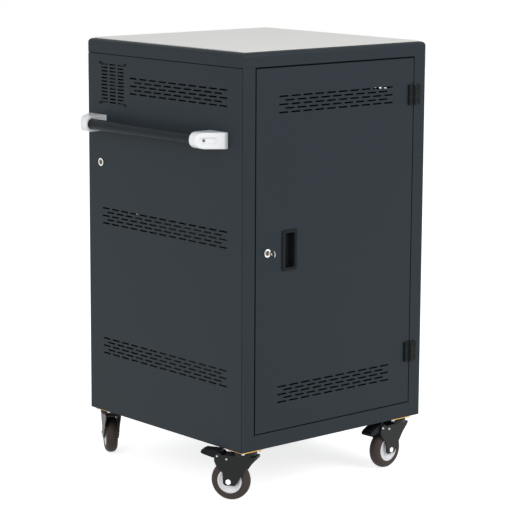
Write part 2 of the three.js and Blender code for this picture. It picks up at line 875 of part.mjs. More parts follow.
// Casters: a bolted plate with a ball race, a swivelling fork, an axle bolt, and a wheel of hub and tyre
const plateTop = baseZ - jointGap;
const plateBottom = plateTop - casterPlateThickness;
const raceBottom = plateBottom - casterRaceHeight;
const crownTop = raceBottom - runningGap;
const crownBottom = crownTop - forkThickness;
const axleZ = wheelRadius;
const legInner = wheelWidth / 2 + wheelSideGap;
const legOuter = legInner + forkThickness;

function casterPlate() {
  const outline = roundedRectangle(about(0, casterPlateX), about(0, casterPlateY), casterPlateCorner, 2);
  const plate = prism("z", outline, [plateBottom, plateTop]);
  const race = rod("z", casterRaceRadius, [raceBottom, plateBottom + 1], [0, 0]);
  const bore = rod("z", kingPinRadius + jointGap, [raceBottom - 1, plateTop + 1], [0, 0], 12);
  return cut(join(plate, race), bore);
}

// The fork, with the swivel axis on Z and the wheel trailing along +X
function casterFork(braked) {
  const across = [-legOuter, legOuter];
  const bored = [-legOuter - 1, legOuter + 1];
  const crown = block(forkCrownSpan, across, [crownBottom, crownTop]);
  const legs = [
    prism("y", forkLegOutline, [-legOuter, -legInner]),
    prism("y", forkLegOutline, [legInner, legOuter]),
  ];
  const kingPin = rod("z", kingPinRadius, [crownBottom, plateTop - jointGap], [0, 0], 12);
  const axleHole = rod("y", axleRadius + jointGap, bored, [casterTrail, axleZ], 12);
  const fork = cut(join(crown, ...legs, kingPin), axleHole);
  if (!braked) return fork;
  return join(fork, rod("y", pedalPivotRadius, across, [pedalPivotX, pedalPivotZ], 12));
}

function casterAxle() {
  const headFrom = legOuter + jointGap;
  const headTo = headFrom + axleHeadHeight;
  const centre = [casterTrail, axleZ];
  return join(
    rod("y", axleRadius, [1 - headTo, headTo - 1], centre, 12),
    rod("y", axleHeadRadius, [headFrom, headTo], centre, 6),
    rod("y", axleHeadRadius, [-headTo, -headFrom], centre, 6),
  );
}

// A ring turned about the axle from its outline of radius and width
function wheelRing(outline) {
  const closed = [...outline, outline[0]].map(([radius, width]) => new THREE.Vector2(radius, width));
  return new THREE.LatheGeometry(closed, wheelSides).translate(casterTrail, 0, axleZ);
}

function wheelHub() {
  const bore = axleRadius + jointGap;
  const half = wheelWidth / 2 - hubFaceInset;
  const boss = wheelWidth / 2 + wheelSideGap - runningGap;
  return wheelRing([
    [bore, -boss],
    [bore * 2, -boss],
    [bore * 2, -half],
    [hubRadius, -half],
    [hubRadius, half],
    [bore * 2, half],
    [bore * 2, boss],
    [bore, boss],
  ]);
}

function wheelTyre() {
  const inner = hubRadius + jointGap;
  const half = wheelWidth / 2;
  const shoulder = wheelRadius - tyreShoulder;
  const curve = arc([0, 0], 1, -90, 90, 6);
  const tread = curve.map(([out, along]) => [shoulder + out * tyreShoulder, along * half]);
  return wheelRing([[inner, -half], ...tread, [inner, half]]);
}

// The pedal turns on the pin between the fork legs
function brakePedal(pressed) {
  const half = legInner - 2 * runningGap;
  const pinRadius = pedalPivotRadius + runningGap;
  const pin = rod("y", pinRadius, [-half - 1, half + 1], [pedalPivotX, pedalPivotZ], 12);
  const pedal = cut(prism("y", pedalOutline, [-half, half]), pin);
  pedal.translate(-pedalPivotX, 0, -pedalPivotZ);
  pedal.rotateY(THREE.MathUtils.degToRad(pressed * pedalTravel));
  return pedal.translate(pedalPivotX, 0, pedalPivotZ);
}

casters.forEach(({ name, side, end, trail, brake }) => {
  const swivel = new THREE.Group();
  const swivelX = side < 0 ? left + casterInsetLeft : right - casterInsetRight;
  swivel.position.set(swivelX, end * (rear - casterInsetY), 0);
  cart.add(swivel);
  add(`caster_${name}_plate`, casterPlate(), goldZinc, swivel);
  const turned = new THREE.Group();
  turned.rotation.z = THREE.MathUtils.degToRad(trail);
  swivel.add(turned);
  add(`caster_${name}_fork`, casterFork(brake !== null), blackSteel, turned);
  add(`caster_${name}_axle`, casterAxle(), zinc, turned);
  add(`caster_${name}_hub`, wheelHub(), whitePlastic, turned);
  add(`caster_${name}_tyre`, wheelTyre(), tyreRubber, turned);
  if (brake !== null) add(`caster_${name}_brake_pedal`, brakePedal(brake), blackPlastic, turned);
});

// The origin is at the middle of the bottom of the whole cart
cart.updateMatrixWorld(true);
const extent = new THREE.Box3().setFromObject(cart);
const middle = extent.getCenter(new THREE.Vector3());
cart.position.set(-middle.x, -middle.y, -extent.min.z);
cart.updateMatrixWorld(true);

export default cart;
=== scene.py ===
import json
import math

import bmesh
import bpy
from mathutils import Matrix, Vector


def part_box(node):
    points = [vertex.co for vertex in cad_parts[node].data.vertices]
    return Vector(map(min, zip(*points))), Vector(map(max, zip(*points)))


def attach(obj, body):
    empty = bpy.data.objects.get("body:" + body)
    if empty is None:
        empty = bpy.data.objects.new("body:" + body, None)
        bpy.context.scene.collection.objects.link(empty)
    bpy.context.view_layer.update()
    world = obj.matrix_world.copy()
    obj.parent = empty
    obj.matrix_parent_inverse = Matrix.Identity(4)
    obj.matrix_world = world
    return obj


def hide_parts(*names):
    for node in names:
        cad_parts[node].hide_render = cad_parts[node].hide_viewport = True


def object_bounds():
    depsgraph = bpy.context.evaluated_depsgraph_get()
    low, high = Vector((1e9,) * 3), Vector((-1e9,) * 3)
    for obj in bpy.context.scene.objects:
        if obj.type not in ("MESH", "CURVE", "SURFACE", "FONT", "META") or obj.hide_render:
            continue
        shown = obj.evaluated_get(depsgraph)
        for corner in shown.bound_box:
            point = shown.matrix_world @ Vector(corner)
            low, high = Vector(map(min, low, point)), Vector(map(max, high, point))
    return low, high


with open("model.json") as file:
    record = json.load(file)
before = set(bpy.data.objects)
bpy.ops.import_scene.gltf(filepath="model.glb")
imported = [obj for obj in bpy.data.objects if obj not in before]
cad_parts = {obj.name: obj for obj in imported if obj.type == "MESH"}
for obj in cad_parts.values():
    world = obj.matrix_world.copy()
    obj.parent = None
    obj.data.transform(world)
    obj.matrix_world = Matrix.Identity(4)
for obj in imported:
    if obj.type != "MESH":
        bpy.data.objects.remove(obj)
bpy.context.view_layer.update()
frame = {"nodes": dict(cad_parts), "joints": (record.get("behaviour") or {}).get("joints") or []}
nodes = frame["nodes"]
joints = {joint["name"]: joint for joint in frame["joints"]}

# Camera: a long lens in front of the cart and to its left, a little above the worktop.
# Its place is measured from the middle of the cabinet's bottom edge.
cabinet_low, cabinet_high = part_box("lid")
cabinet_middle = (cabinet_low + cabinet_high) / 2
cabinet_foot = Vector((cabinet_middle.x, cabinet_middle.y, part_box("base_pan")[0].z))
camera_right = Vector((0.75583, -0.65474, 0.00485))
camera_up = Vector((0.11188, 0.13644, 0.98431))
camera_back = camera_right.cross(camera_up)
camera_data = bpy.data.cameras.new("view")
camera_data.lens = 149.04
camera_data.sensor_width = 36
camera_data.clip_end = 60
camera = bpy.data.objects.new("view", camera_data)
turn = Matrix((camera_right, camera_up, camera_back)).transposed()
place = Matrix.Translation(cabinet_foot + Vector((-3.62896, -4.18259, 1.41749)))
camera.matrix_world = place @ turn.to_4x4()
bpy.context.scene.collection.objects.link(camera)
bpy.context.scene.camera = camera

# Studio: a pale floor and an even white surround, with one broad lamp on each side of the camera.
# The surround shows as plain white to the camera and in reflections, and lights the cart softly.
bpy.context.scene.view_settings.view_transform = "Standard"
studio = bpy.data.worlds.new("studio")
studio.use_nodes = True
bpy.context.scene.world = studio
studio_nodes = studio.node_tree.nodes
studio_links = studio.node_tree.links
studio_nodes.clear()
world_out = studio_nodes.new("ShaderNodeOutputWorld")
seen_white = studio_nodes.new("ShaderNodeBackground")
seen_white.inputs["Color"].default_value = (1, 1, 1, 1)
seen_white.inputs["Strength"].default_value = 1.0
soft_light = studio_nodes.new("ShaderNodeBackground")
soft_light.inputs["Color"].default_value = (0.97, 0.985, 1, 1)
soft_light.inputs["Strength"].default_value = 0.55


def bright_rays(tree):
    """1 for the rays that see the surround: straight to the camera, by reflection or through glass."""
    ray_kind = tree.nodes.new("ShaderNodeLightPath")
    brightest = ray_kind.outputs["Is Camera Ray"]
    for kind in ["Is Glossy Ray", "Is Transmission Ray"]:
        either = tree.nodes.new("ShaderNodeMath")
        either.operation = "MAXIMUM"
        tree.links.new(brightest, either.inputs[0])
        tree.links.new(ray_kind.outputs[kind], either.inputs[1])
        brightest = either.outputs["Value"]
    return brightest


world_mix = studio_nodes.new("ShaderNodeMixShader")
studio_links.new(bright_rays(studio.node_tree), world_mix.inputs["Fac"])
studio_links.new(soft_light.outputs["Background"], world_mix.inputs[1])
studio_links.new(seen_white.outputs["Background"], world_mix.inputs[2])
studio_links.new(world_mix.outputs["Shader"], world_out.inputs["Surface"])

floor_mesh = bpy.data.meshes.new("floor")
floor_mesh.from_pydata([(-9, -9, 0), (9, -9, 0), (9, 9, 0), (-9, 9, 0)], [], [(0, 1, 2, 3)])
floor = bpy.data.objects.new("floor", floor_mesh)
floor.location.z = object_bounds()[0][2] - 0.0005
bpy.context.scene.collection.objects.link(floor)
floor_finish = bpy.data.materials.new("pale_floor")
floor_finish.use_nodes = True
floor_nodes = floor_finish.node_tree.nodes
floor_links = floor_finish.node_tree.links
floor_nodes.clear()
floor_out = floor_nodes.new("ShaderNodeOutputMaterial")
floor_body = floor_nodes.new("ShaderNodeBsdfDiffuse")
floor_body.inputs["Color"].default_value = (0.8, 0.8, 0.8, 1)
floor_glow = floor_nodes.new("ShaderNodeEmission")
floor_glow.inputs["Color"].default_value = (1, 1, 1, 1)
floor_glow.inputs["Strength"].default_value = 0.74
floor_dark = floor_nodes.new("ShaderNodeEmission")
floor_dark.inputs["Strength"].default_value = 0.0
floor_pick = floor_nodes.new("ShaderNodeMixShader")
floor_sum = floor_nodes.new("ShaderNodeAddShader")
floor_links.new(bright_rays(floor_finish.node_tree), floor_pick.inputs["Fac"])
floor_links.new(floor_dark.outputs["Emission"], floor_pick.inputs[1])
floor_links.new(floor_glow.outputs["Emission"], floor_pick.inputs[2])
floor_links.new(floor_body.outputs["BSDF"], floor_sum.inputs[0])
floor_links.new(floor_pick.outputs["Shader"], floor_sum.inputs[1])
floor_links.new(floor_sum.outputs["Shader"], floor_out.inputs["Surface"])
floor_mesh.materials.append(floor_finish)


def add_lamp(name, spot, aim, size, power):
    lamp_data = bpy.data.lights.new(name, "AREA")
    lamp_data.size = size
    lamp_data.energy = power
    lamp = bpy.data.objects.new(name, lamp_data)
    lamp.location = Vector(spot)
    lamp.rotation_euler = (Vector(aim) - Vector(spot)).to_track_quat("-Z", "Y").to_euler()
    bpy.context.scene.collection.objects.link(lamp)


add_lamp("left_lamp", (-3.6, -1.2, 2.0), (0, 0, 0.5), 2.4, 54)
add_lamp("front_lamp", (1.2, -3.8, 2.6), (0, 0, 0.6), 2.4, 80)

# Cabinet shell: folded sheet steel with a semi-gloss anthracite powder coat.
# The lid laps the side panels, and the posts and the base pan carry the door opening.


def shade(red, green, blue):
    def linear(value):
        value /= 255
        return value / 12.92 if value <= 0.04045 else ((value + 0.055) / 1.055) ** 2.4

    return (linear(red), linear(green), linear(blue), 1)


def surface_texture_group():
    group = bpy.data.node_groups.new("surface_texture", "ShaderNodeTree")
    face = group.interface
    face.new_socket(name="Color", in_out="INPUT", socket_type="NodeSocketColor")
    face.new_socket(name="Roughness", in_out="INPUT", socket_type="NodeSocketFloat")
    face.new_socket(name="Grain", in_out="INPUT", socket_type="NodeSocketFloat")
    face.new_socket(name="Mottle", in_out="INPUT", socket_type="NodeSocketFloat")
    face.new_socket(name="Color", in_out="OUTPUT", socket_type="NodeSocketColor")
    face.new_socket(name="Roughness", in_out="OUTPUT", socket_type="NodeSocketFloat")
    face.new_socket(name="Height", in_out="OUTPUT", socket_type="NodeSocketFloat")
    add = group.nodes.new
    link = group.links.new
    given = add("NodeGroupInput")
    result = add("NodeGroupOutput")
    place_on = add("ShaderNodeTexCoord")
    fine = add("ShaderNodeTexNoise")
    fine.inputs["Detail"].default_value = 2
    link(place_on.outputs["Object"], fine.inputs["Vector"])
    link(given.outputs["Grain"], fine.inputs["Scale"])
    link(fine.outputs["Fac"], result.inputs["Height"])
    broad = add("ShaderNodeTexNoise")
    broad.inputs["Scale"].default_value = 7
    broad.inputs["Detail"].default_value = 4
    link(place_on.outputs["Object"], broad.inputs["Vector"])
    centred = add("ShaderNodeMath")
    centred.operation = "SUBTRACT"
    centred.inputs[1].default_value = 0.5
    link(broad.outputs["Fac"], centred.inputs[0])
    amount = add("ShaderNodeMath")
    amount.operation = "MULTIPLY_ADD"
    amount.inputs[2].default_value = 1
    link(centred.outputs["Value"], amount.inputs[0])
    link(given.outputs["Mottle"], amount.inputs[1])
    tint = add("ShaderNodeHueSaturation")
    link(given.outputs["Color"], tint.inputs["Color"])
    link(amount.outputs["Value"], tint.inputs["Value"])
    link(tint.outputs["Color"], result.inputs["Color"])
    rough = add("ShaderNodeMath")
    rough.operation = "MULTIPLY"
    link(given.outputs["Roughness"], rough.inputs[0])
    link(amount.outputs["Value"], rough.inputs[1])
    link(rough.outputs["Value"], result.inputs["Roughness"])
    return group


surface_texture = surface_texture_group()


def make_finish(name, color, roughness, metallic, grain, bump, mottle=0.15, gloss=0.5):
    finish = bpy.data.materials.new(name)
    finish.use_nodes = True
    tree = finish.node_tree
    body = tree.nodes["Principled BSDF"]
    texture = tree.nodes.new("ShaderNodeGroup")
    texture.node_tree = surface_texture
    texture.inputs["Color"].default_value = color
    texture.inputs["Roughness"].default_value = roughness
    texture.inputs["Grain"].default_value = grain
    texture.inputs["Mottle"].default_value = mottle
    relief = tree.nodes.new("ShaderNodeBump")
    relief.inputs["Strength"].default_value = 1.0
    relief.inputs["Distance"].default_value = bump
    tree.links.new(texture.outputs["Color"], body.inputs["Base Color"])
    tree.links.new(texture.outputs["Roughness"], body.inputs["Roughness"])
    tree.links.new(texture.outputs["Height"], relief.inputs["Height"])
    tree.links.new(relief.outputs["Normal"], body.inputs["Normal"])
    body.inputs["Metallic"].default_value = metallic
    body.inputs["Specular IOR Level"].default_value = gloss
    return finish


def dress(node, finish):
    mesh = nodes[node].data
    mesh.materials.clear()
    mesh.materials.append(finish)


anthracite_coat = make_finish("anthracite_coat", shade(32, 41, 47), 0.42, 0, 900, 0.00002, 0.14, 0.16)
shell_nodes = ["base_pan", "front_left_post", "front_right_post", "rear_left_post", "rear_right_post"]
shell_nodes += ["left_side_panel", "right_side_panel", "back_panel", "lid", "front_door"]
for shell_node in shell_nodes:
    dress(shell_node, anthracite_coat)

# Worktop: a light grey laminate panel with a fine matt grain.
# It is laid on the flat of the lid and bonded there.
worktop_grain = make_finish("worktop_grain", shade(226, 225, 221), 0.5, 0, 1600, 0.00003, 0.04)
dress("worktop_panel", worktop_grain)

# Racks and partition: dark grey coated sheet inside the cabinet. The dark grey is partly painted shade, so
# that the louvre slots read dark.
# The racks hold the laptops upright, and the partition closes off the power compartment.
rack_coat_and_shade = make_finish("rack_coat_and_shade", shade(54, 57, 61), 0.5, 0, 900, 0.00002, 0.12, 0.2)
for rack_node in ["rear_partition", "laptop_rack_lower", "laptop_rack_middle", "laptop_rack_upper"]:
    dress(rack_node, rack_coat_and_shade)

# Black plastic fittings: hinges, fan, power strips and inlet.
# All are moulded with a fine satin texture and screwed to the sheet.
black_moulding = make_finish("black_moulding", shade(20, 23, 24), 0.5, 0, 1400, 0.00003, 0.2, 0.12)
black_nodes = ["fan_frame", "fan_rotor", "power_strip_left", "power_strip_right"]
black_nodes += ["mains_inlet", "mains_rocker"]
for hinge_level in ["upper", "lower"]:
    black_nodes.append(f"front_hinge_{hinge_level}_frame_leaf")
    black_nodes.append(f"front_hinge_{hinge_level}_door_leaf")
for black_node in black_nodes:
    dress(black_node, black_moulding)

# Bright fittings: nickel-plated locks and key, and zinc-plated pins and cams.
# The lock bodies are turned, and the key and cams are stamped.
bright_nickel = make_finish("bright_nickel", shade(222, 222, 220), 0.18, 1, 700, 0.000005, 0.2)
dull_zinc = make_finish("dull_zinc", shade(196, 198, 200), 0.34, 1, 800, 0.00001, 0.3)
for bright_node in ["front_lock_body", "side_lock_body", "front_key"]:
    dress(bright_node, bright_nickel)
# The lock plugs are a dark brownish metal, darker than the lock bodies round them.
dark_brass = make_finish("dark_brass", shade(112, 100, 84), 0.4, 1, 800, 0.00002, 0.4)
for plug_node in ["front_lock_plug", "side_lock_plug"]:
    dress(plug_node, dark_brass)
for cam_node in ["front_lock_cam", "side_lock_cam"]:
    dress(cam_node, dull_zinc)
for hinge_level in ["upper", "lower"]:
    dress(f"front_hinge_{hinge_level}_pin", dull_zinc)

# Flush pull: a black moulded pocket let into the door, with a rounded rim and a finger lip.
# It clips into a cut-out in the door sheet.


def new_piece(name, points, faces, finish, smooth_below=40):
    """A closed mesh, at the origin, with its place in its points."""
    mesh = bpy.data.meshes.new(name)
    mesh.from_pydata([tuple(point) for point in points], [], faces)
    shape = bmesh.new()
    shape.from_mesh(mesh)
    bmesh.ops.remove_doubles(shape, verts=shape.verts, dist=1e-6)
    bmesh.ops.recalc_face_normals(shape, faces=shape.faces)
    shape.to_mesh(mesh)
    shape.free()
    mesh.materials.append(finish)
    piece = bpy.data.objects.new(name, mesh)
    bpy.context.scene.collection.objects.link(piece)
    mesh.shade_smooth()
    mesh.set_sharp_from_angle(angle=math.radians(smooth_below))
    return piece


def loft(name, loops, finish, capped=True):
    """Closed loops of the same count, joined one to the next, with the first and last filled."""
    count = len(loops[0])
    points = [point for loop in loops for point in loop]
    faces = []
    for row in range(len(loops) - 1):
        for i in range(count):
            j = (i + 1) % count
            a, b = row * count, (row + 1) * count
            faces.append((a + i, a + j, b + j, b + i))
    if capped:
        faces.append(tuple(range(count)))
        faces.append(tuple(range(len(points) - count, len(points))))
    return new_piece(name, points, faces, finish)


def rounded_loop(middle, half_width, half_height, radius, y):
    loop = []
    for corner in range(4):
        side_x = 1 if corner in (0, 3) else -1
        side_z = 1 if corner in (0, 1) else -1
        centre_x = middle.x + side_x * (half_width - radius)
        centre_z = middle.z + side_z * (half_height - radius)
        for step in range(7):
            angle = math.radians(90 * corner + 15 * step)
            loop.append((centre_x + radius * math.cos(angle), y, centre_z + radius * math.sin(angle)))
    return loop


pull_low, pull_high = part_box("flush_pull")
pull_middle = (pull_low + pull_high) / 2
door_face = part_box("front_door")[0].y
pull_finish = make_finish("pull_moulding", shade(20, 24, 26), 0.4, 0, 1400, 0.00002, 0.2, 0.1)
pull_loops = [
    rounded_loop(pull_middle, 0.0155, 0.0450, 0.004, pull_high.y),
    rounded_loop(pull_middle, 0.0160, 0.0455, 0.004, pull_high.y - 0.001),
    rounded_loop(pull_middle, 0.0160, 0.0455, 0.004, door_face - 0.0003),
    rounded_loop(pull_middle, 0.0252, 0.0517, 0.005, door_face - 0.0003),
    rounded_loop(pull_middle, 0.0255, 0.0520, 0.005, door_face - 0.0010),
    rounded_loop(pull_middle, 0.0250, 0.0515, 0.005, pull_low.y + 0.0005),
    rounded_loop(pull_middle, 0.0235, 0.0500, 0.005, pull_low.y),
    rounded_loop(pull_middle, 0.0172, 0.0452, 0.004, pull_low.y),
    rounded_loop(pull_middle, 0.0160, 0.0440, 0.004, pull_low.y + 0.0006),
    rounded_loop(pull_middle, 0.0154, 0.0435, 0.004, pull_low.y + 0.0020),
    rounded_loop(pull_middle, 0.0142, 0.0432, 0.004, pull_high.y - 0.0040),
    rounded_loop(pull_middle, 0.0128, 0.0422, 0.004, pull_high.y - 0.0022),
]
pull = loft("flush_pull_moulding", pull_loops, pull_finish)
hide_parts("flush_pull")
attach(pull, "front_door")

# Painted shade in the gaps: black half-round strips along the free edge, the top and the bottom of the door
# opening.
# They are bonded to the frame and stop short of the door, so that the gap reads dark, as shade makes it. A
# thinner black strip fills the seam between the lid and each side panel, as painted shade in that seam.
shade_strip_rubber = make_finish("shade_strip_rubber", shade(8, 9, 10), 0.7, 0, 1500, 0.00003, 0.2, 0.08)
shade_strip_half_width = 0.003
shade_strip_steps = 12
sheet_thickness = 0.0015
fit_gap = 0.0003
opening_low, opening_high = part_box("front_door")
post_inner_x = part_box("front_left_post")[1].x
rail_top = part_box("base_pan")[1].z
lid_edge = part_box("lid")[0].z


def shade_strip(name, start, run, rise, half_width):
    """A half-round strip from its start along its run, standing out from the sheet by its rise."""
    ends = []
    for share in (0, 1):
        loop = []
        for step in range(shade_strip_steps + 1):
            angle = math.pi * step / shade_strip_steps
            bulge = half_width * math.cos(angle) + rise * math.sin(angle)
            loop.append(start + run * share + bulge)
        ends.append(loop)
    strip = loft(name, ends, shade_strip_rubber)
    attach(strip, "cabinet")


shade_strip_y = door_face + 0.0062
top_y = door_face + sheet_thickness + shade_strip_half_width
shade_strip_height = Vector((0, 0, opening_high.z - opening_low.z))
shade_strip_width = Vector((opening_high.x - opening_low.x, 0, 0))
shade_strip_half = Vector((0, shade_strip_half_width, 0))
side_start = Vector((post_inner_x, shade_strip_y, opening_low.z))
bottom_start = Vector((opening_low.x, shade_strip_y, rail_top))
top_start = Vector((opening_low.x, top_y, lid_edge + 0.004))
shade_strip("door_shade_strip_side", side_start, shade_strip_height, Vector((0.0028, 0, 0)), shade_strip_half)
shade_strip("door_shade_strip_bottom", bottom_start, shade_strip_width, Vector((0, 0, 0.0018)), shade_strip_half)
shade_strip("door_shade_strip_top", top_start, shade_strip_width, Vector((0, 0, -0.007)), shade_strip_half)

# Black strips in the seams between the lid and the side panels, as painted shade in those seams.
seam_height = lid_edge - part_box("left_side_panel")[1].z
seam_slack = 0.00005
seam_half = Vector((0, 0, seam_height / 2 - seam_slack))
seam_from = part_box("front_left_post")[0].y + sheet_thickness + fit_gap
seam_run = Vector((0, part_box("back_panel")[0].y - fit_gap - seam_from, 0))
seam_depth = 0.0017
seam_bulge = 0.0008
for seam_side, seam_x, outward in (("left", cabinet_low.x, -1), ("right", cabinet_high.x, 1)):
    seam_start = Vector((seam_x - outward * seam_depth, seam_from, lid_edge - seam_height / 2))
    shade_strip(f"lid_shade_strip_{seam_side}", seam_start, seam_run, Vector((outward * seam_bulge, 0, 0)), seam_half)

# Handle: a dark coated steel bar held by two glossy white brackets on the left side panel.
# Each bracket slopes from a thin foot out to the bar, which it takes in a socket, and has a scooped face
# with its screw at the deep end.
grip_coat = make_finish("grip_coat", shade(28, 34, 38), 0.42, 0, 1100, 0.00002, 0.15, 0.1)
dress("handle_bar", grip_coat)
white_gloss = make_finish("white_gloss", shade(238, 239, 240), 0.25, 0, 500, 0.00001, 0.02, 0.4)
bar_low, bar_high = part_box("handle_bar")
bar_middle = (bar_low + bar_high) / 2
bar_radius = (bar_high.z - bar_low.z) / 2
socket_radius = bar_radius + 0.0006
socket_depth = 0.0181
nose_proud = 0.001
corner_radius = 0.005
softness = 0.004
foot_reach = 0.009
slope_length = 0.046
slope_steps = 44
face_steps = 48
scoop_radius = 0.0085
scoop_depth = 0.006
scoop_wall = 0.0026
scoop_span = (0.36, 0.75)


def bracket_reach(low_x, wall_x, along):
    """How far the sloped face stands off the wall, at a place along the bracket from its foot."""
    full = wall_x - low_x + nose_proud
    return min(foot_reach + (full - foot_reach) * along / slope_length, full)


def scoop_push(low_x, wall_x, along, across):
    """How far the scoop takes the face back towards the wall."""
    run = math.hypot(slope_length, wall_x - low_x + nose_proud - foot_reach)
    beside = along / slope_length
    nearest = min(max(beside, scoop_span[0]), scoop_span[1])
    away = math.hypot((beside - nearest) * run, across)
    share = min(max((scoop_radius - away) / scoop_wall, 0), 1)
    return scoop_depth * run / slope_length * share * share * (3 - 2 * share)


def bracket_loop(low_x, wall_x, half, inset, along, y):
    tall = half - inset
    reach = bracket_reach(low_x, wall_x, along) - inset
    corner = min(corner_radius, reach * 0.6)
    loop = []
    for step in range(face_steps + 1):
        across = tall * math.cos(math.pi * step / face_steps)
        nose = bar_middle.x - math.sqrt(max(tall * tall - across * across, 0))
        past = max(abs(across) - (tall - corner), 0)
        face = wall_x - reach + corner - math.sqrt(max(corner * corner - past * past, 0))
        near = max(softness - abs(nose - face), 0) / softness
        x = max(nose, face) + near * near * softness / 4
        x += scoop_push(low_x, wall_x, along, across)
        loop.append((x, y, bar_middle.z + across))
    edge_x = loop[-1][0]
    for step in range(1, 7):
        loop.append((edge_x + (wall_x - edge_x) * step / 6, y, bar_middle.z - tall))
    for step in range(1, 8):
        loop.append((wall_x, y, bar_middle.z - tall + 2 * tall * step / 8))
    for step in range(6):
        loop.append((wall_x - (wall_x - edge_x) * step / 6, y, bar_middle.z + tall))
    return loop


def socket_loop(outline, radius, y):
    loop = []
    for x, _, z in outline:
        angle = math.atan2(z - bar_middle.z, x - bar_middle.x)
        loop.append((bar_middle.x + radius * math.cos(angle), y, bar_middle.z + radius * math.sin(angle)))
    return loop


def bracket(node, name, foot_y, open_y):
    low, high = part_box(node)
    half = (high.z - low.z) / 2
    away = 1 if open_y > foot_y else -1
    length = abs(open_y - foot_y)
    rows = [(0, 0.0035), (0, 0.0018), (0.0006, 0.0007), (0.0018, 0)]
    rows += [(0.003 + (slope_length - 0.002) * step / slope_steps, 0) for step in range(slope_steps + 1)]
    rows += [(length - 0.0030, 0), (length - 0.0008, 0.0008), (length, 0.0025)]
    loops = []
    for along, inset in rows:
        loops.append(bracket_loop(low.x, high.x, half, inset, along, foot_y + away * along))
    rim = loops[-1]
    loops.append(socket_loop(rim, socket_radius, open_y))
    loops.append(socket_loop(rim, socket_radius, open_y - away * socket_depth))
    piece = loft(name, loops, white_gloss)
    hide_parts(node)
    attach(piece, "cabinet")
    screw_along = 0.8 * slope_length
    screw_x = high.x - bracket_reach(low.x, high.x, screw_along)
    screw_x += scoop_push(low.x, high.x, screw_along, 0)
    rise = bracket_reach(low.x, high.x, slope_length) - foot_reach
    return (screw_x, foot_y + away * screw_along, bar_middle.z), (-slope_length, -away * rise, 0)


near_low, near_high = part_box("handle_bracket_front")
near_screw = bracket("handle_bracket_front", "handle_bracket_front_moulding", near_low.y, near_high.y)
far_low, far_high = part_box("handle_bracket_rear")
far_screw = bracket("handle_bracket_rear", "handle_bracket_rear_moulding", far_high.y, far_low.y)

# Screws: pan heads with a cross recess, on the fan grille, hinges and brackets. The casters' rivets and
# bolts are made in the same way. Each group lies on the face that it holds and points out of it.


def point_tree(name, sizes):
    """A tree that takes points with the way that each one faces, named sizes and a finish."""
    tree = bpy.data.node_groups.new(name, "GeometryNodeTree")
    face = tree.interface
    face.new_socket(name="Geometry", in_out="INPUT", socket_type="NodeSocketGeometry")
    for size_name, kind in sizes.items():
        face.new_socket(name=size_name, in_out="INPUT", socket_type=kind)
    face.new_socket(name="Finish", in_out="INPUT", socket_type="NodeSocketMaterial")
    face.new_socket(name="Geometry", in_out="OUTPUT", socket_type="NodeSocketGeometry")
    return tree, tree.nodes.new("NodeGroupInput")


def share_of(tree, size, share):
    part = tree.nodes.new("ShaderNodeMath")
    part.operation = "MULTIPLY"
    part.inputs[1].default_value = share
    tree.links.new(size, part.inputs[0])
    return part.outputs["Value"]


def lifted(tree, mesh, height):
    """The mesh, moved up by a height."""
    rise = tree.nodes.new("ShaderNodeCombineXYZ")
    tree.links.new(height, rise.inputs["Z"])
    lift = tree.nodes.new("GeometryNodeTransform")
    tree.links.new(rise.outputs["Vector"], lift.inputs["Translation"])
    tree.links.new(mesh, lift.inputs["Geometry"])
    return lift.outputs["Geometry"]


def carved(tree, mesh, tools):
    """The mesh with the tools taken out of it."""
    recess = tree.nodes.new("GeometryNodeMeshBoolean")
    recess.operation = "DIFFERENCE"
    tree.links.new(mesh, recess.inputs["Mesh 1"])
    for tool in tools:
        tree.links.new(tool, recess.inputs["Mesh 2"])
    return recess.outputs["Mesh"]


def set_on_points(tree, given, shape, smooth=False):
    """Puts the shape on every point, turned to face out of its sheet, and gives it its finish."""
    add = tree.nodes.new
    link = tree.links.new
    out_way = add("GeometryNodeInputNamedAttribute")
    out_way.data_type = "FLOAT_VECTOR"
    out_way.inputs["Name"].default_value = "out"
    align = add("FunctionNodeAlignRotationToVector")
    align.axis = "Z"
    link(out_way.outputs["Attribute"], align.inputs["Vector"])
    spread = add("GeometryNodeInstanceOnPoints")
    link(given.outputs["Geometry"], spread.inputs["Points"])
    link(shape, spread.inputs["Instance"])
    link(align.outputs["Rotation"], spread.inputs["Rotation"])
    real = add("GeometryNodeRealizeInstances")
    link(spread.outputs["Instances"], real.inputs["Geometry"])
    made = real.outputs["Geometry"]
    if smooth:
        soften = add("GeometryNodeSetShadeSmooth")
        link(made, soften.inputs["Geometry"])
        made = soften.outputs["Geometry"]
    paint = add("GeometryNodeSetMaterial")
    link(made, paint.inputs["Geometry"])
    link(given.outputs["Finish"], paint.inputs["Material"])
    result = add("NodeGroupOutput")
    link(paint.outputs["Geometry"], result.inputs["Geometry"])


def screw_head_tree():
    sizes = {"Head Radius": "NodeSocketFloat", "Head Height": "NodeSocketFloat", "Sides": "NodeSocketInt"}
    tree, given = point_tree("screw_heads", sizes)
    link = tree.links.new
    radius = given.outputs["Head Radius"]
    height = given.outputs["Head Height"]
    head = tree.nodes.new("GeometryNodeMeshCone")
    link(given.outputs["Sides"], head.inputs["Vertices"])
    link(share_of(tree, radius, 0.72), head.inputs["Radius Top"])
    link(radius, head.inputs["Radius Bottom"])
    link(height, head.inputs["Depth"])
    groove = share_of(tree, radius, 0.24)
    cross = []
    for long_way, short_way in ("XY", "YX"):
        size = tree.nodes.new("ShaderNodeCombineXYZ")
        link(radius, size.inputs[long_way])
        link(groove, size.inputs[short_way])
        link(height, size.inputs["Z"])
        bar = tree.nodes.new("GeometryNodeMeshCube")
        link(size.outputs["Vector"], bar.inputs["Size"])
        cross.append(lifted(tree, bar.outputs["Mesh"], height))
    set_on_points(tree, given, carved(tree, head.outputs["Mesh"], cross))
    return tree


screw_heads = screw_head_tree()


